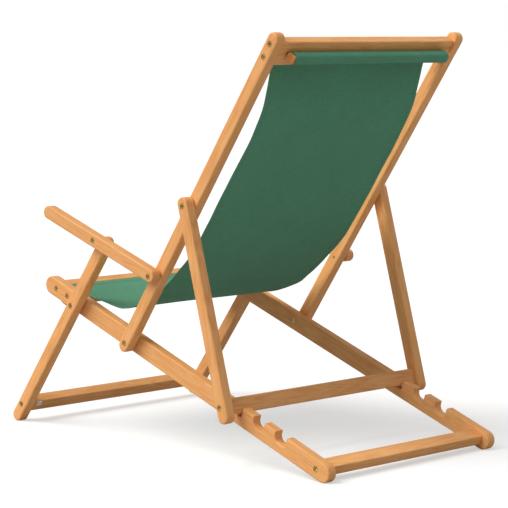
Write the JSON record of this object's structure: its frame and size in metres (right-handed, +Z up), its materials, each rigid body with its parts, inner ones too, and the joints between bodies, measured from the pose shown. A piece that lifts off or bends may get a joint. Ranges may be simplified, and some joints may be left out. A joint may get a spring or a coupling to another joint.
{
  "type": "folding deck chair",
  "caption": "Wooden folding deck chair with a canvas sling seat, armrests, prop legs and notched base rails that set how far it reclines.",
  "frame": {"origin": "on the floor, at the middle of the open chair's bounding box", "axes": "+Z up, the chair faces -Y, +X towards the sitter's left"},
  "size_m": [0.6136, 0.9926, 0.8909],
  "materials": {
    "teak": "oiled teak, fine straight grain, eased edges",
    "canvas": "dark green woven canvas with stitched hems and sleeves",
    "brass": "satin brass socket screws and washers, slightly dulled",
    "bumper_plastic": "off-white plastic pads"
  },
  "bodies": {
    "main_frame": {"back_pivot_bolt_left": "brass", "back_pivot_bolt_right": "brass", "back_pivot_nut_left": "brass", "back_pivot_nut_right": "brass", "back_pivot_washer_left": "brass", "back_pivot_washer_right": "brass", "front_board_screw_left_1": "brass", "front_board_screw_left_2": "brass", "front_board_screw_right_1": "brass", "front_board_screw_right_2": "brass", "front_rod": "teak", "front_slot_board": "teak", "leg_pivot_bolt_left": "brass", "leg_pivot_bolt_right": "brass", "leg_pivot_nut_left": "brass", "leg_pivot_nut_right": "brass", "leg_pivot_washer_left": "brass", "leg_pivot_washer_right": "brass", "main_rail_left": "teak", "main_rail_right": "teak", "rear_crossbar": "teak", "rear_crossbar_screw_left": "brass", "rear_crossbar_screw_right": "brass", "sling": "canvas"},
    "back_frame": {"arm_rear_pivot_bolt_left": "brass", "arm_rear_pivot_bolt_right": "brass", "arm_rear_pivot_washer_left": "brass", "arm_rear_pivot_washer_right": "brass", "back_rail_left": "teak", "back_rail_right": "teak", "prop_pivot_bolt_left": "brass", "prop_pivot_bolt_right": "brass", "prop_pivot_washer_left": "brass", "prop_pivot_washer_right": "brass", "top_board_screw_left_1": "brass", "top_board_screw_left_2": "brass", "top_board_screw_right_1": "brass", "top_board_screw_right_2": "brass", "top_rod": "teak", "top_slot_board": "teak"},
    "front_leg_frame": {"arm_front_pivot_bolt_left": "brass", "arm_front_pivot_bolt_right": "brass", "arm_front_pivot_washer_left": "brass", "arm_front_pivot_washer_right": "brass", "front_leg_left": "teak", "front_leg_right": "teak", "front_stretcher": "teak", "stretcher_bumper_left": "bumper_plastic", "stretcher_bumper_right": "bumper_plastic", "stretcher_screw_left": "brass", "stretcher_screw_right": "brass"},
    "armrest_left": {"armrest_left": "teak"},
    "armrest_right": {"armrest_right": "teak"},
    "prop_frame": {"prop_crossbar": "teak", "prop_crossbar_screw_left": "brass", "prop_crossbar_screw_right": "brass", "prop_leg_left": "teak", "prop_leg_right": "teak"}
  },
  "joints": [
    {"name": "back_fold", "type": "hinge", "parent": "main_frame", "child": "back_frame", "pos_m": [0, -0.09905, 0.22145], "axis": [1, 0, 0], "range_deg": [0, 92], "deforming": ["sling"]},
    {"name": "leg_fold", "type": "hinge", "parent": "main_frame", "child": "front_leg_frame", "pos_m": [0, -0.28167, 0.2854], "axis": [1, 0, 0], "range_deg": [0, 92]},
    {"name": "prop_fold", "type": "hinge", "parent": "back_frame", "child": "prop_frame", "pos_m": [0, 0.11891, 0.53273], "axis": [1, 0, 0], "range_deg": [-38.64, 0]},
    {"name": "armrest_left_fold", "type": "hinge", "parent": "back_frame", "child": "armrest_left", "pos_m": [0, 0.01133, 0.37733], "axis": [1, 0, 0], "range_deg": [-92, 0]},
    {"name": "armrest_right_fold", "type": "hinge", "parent": "back_frame", "child": "armrest_right", "pos_m": [0, 0.01133, 0.37733], "axis": [1, 0, 0], "range_deg": [-92, 0]}
  ],
  "couplings": [
    {"joint": "leg_fold", "follows": "back_fold", "ratio": 1},
    {"joint": "armrest_left_fold", "follows": "back_fold", "ratio": -1},
    {"joint": "armrest_right_fold", "follows": "back_fold", "ratio": -1},
    {"joint": "prop_fold", "follows": "back_fold", "ratio": -0.42}
  ]
}
